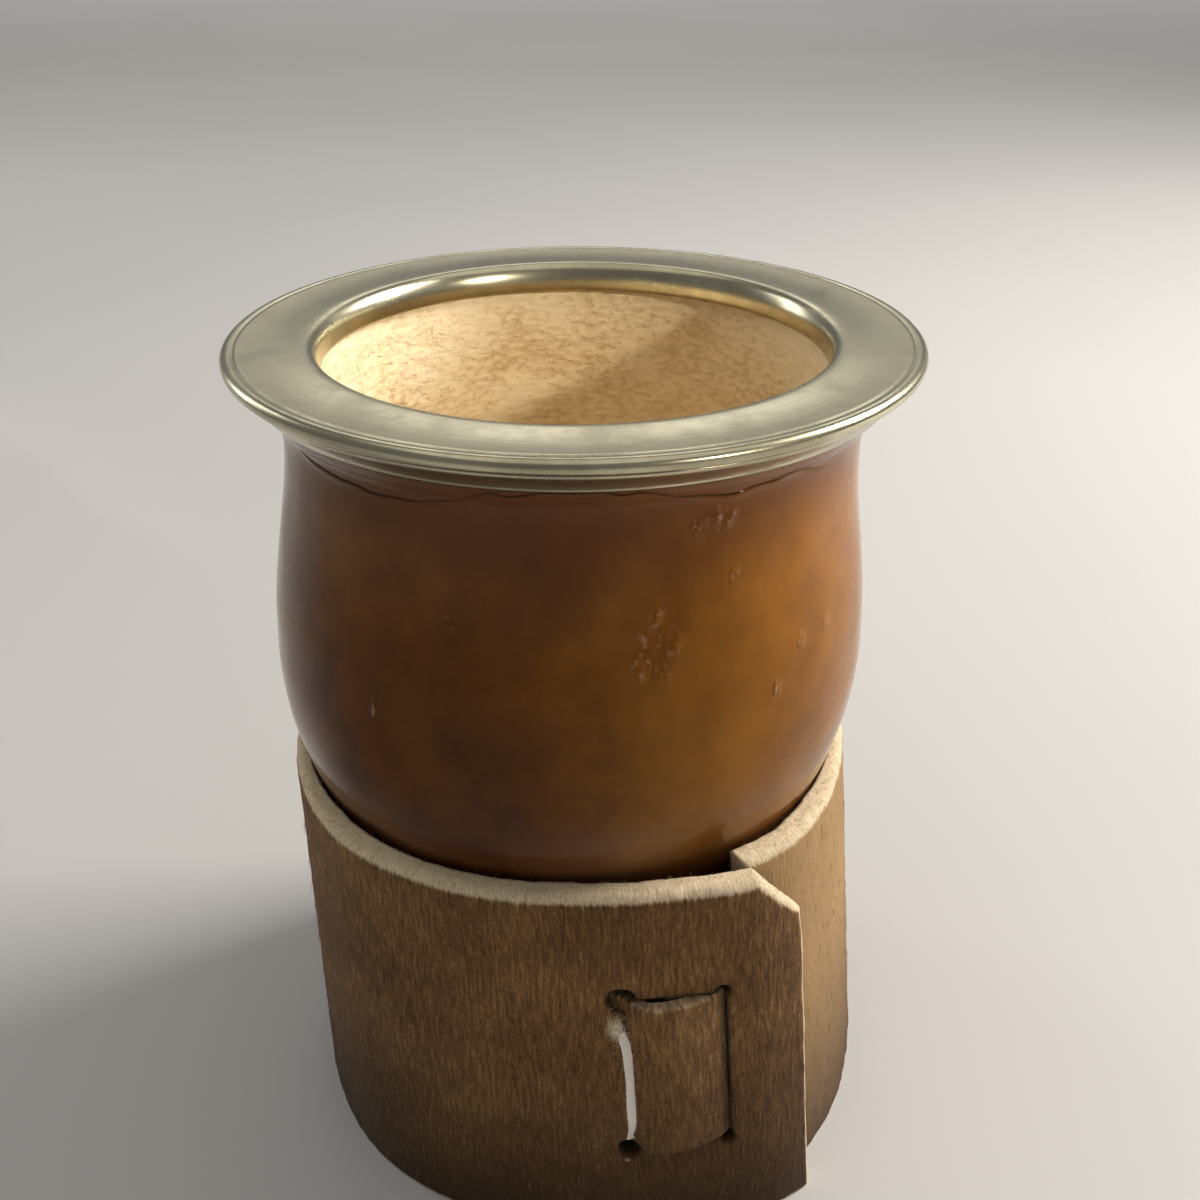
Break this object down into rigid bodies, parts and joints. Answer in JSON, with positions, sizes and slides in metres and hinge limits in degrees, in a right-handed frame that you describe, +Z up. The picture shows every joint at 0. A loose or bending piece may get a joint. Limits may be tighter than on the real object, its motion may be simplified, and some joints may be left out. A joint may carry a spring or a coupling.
{
  "type": "empty mate gourd cup on a leather ring stand",
  "caption": "Empty varnished mate gourd with a wide nickel silver collar, standing in a ring of thick rough leather closed by a tongue through slots.",
  "frame": {"origin": "on the table, under the middle of the collar", "axes": "+Z up out of the mouth, -Y towards the lock of the leather ring, +X to the right as seen from the lock's side"},
  "size_m": [0.095, 0.095, 0.1227],
  "materials": {
    "varnished_gourd": "glossy",
    "nickel_silver": "satin",
    "rough_leather": "matte"
  },
  "bodies": {
    "root": {"gourd": "varnished_gourd", "collar": "nickel_silver", "leather_ring": "rough_leather"}
  },
  "joints": []
}
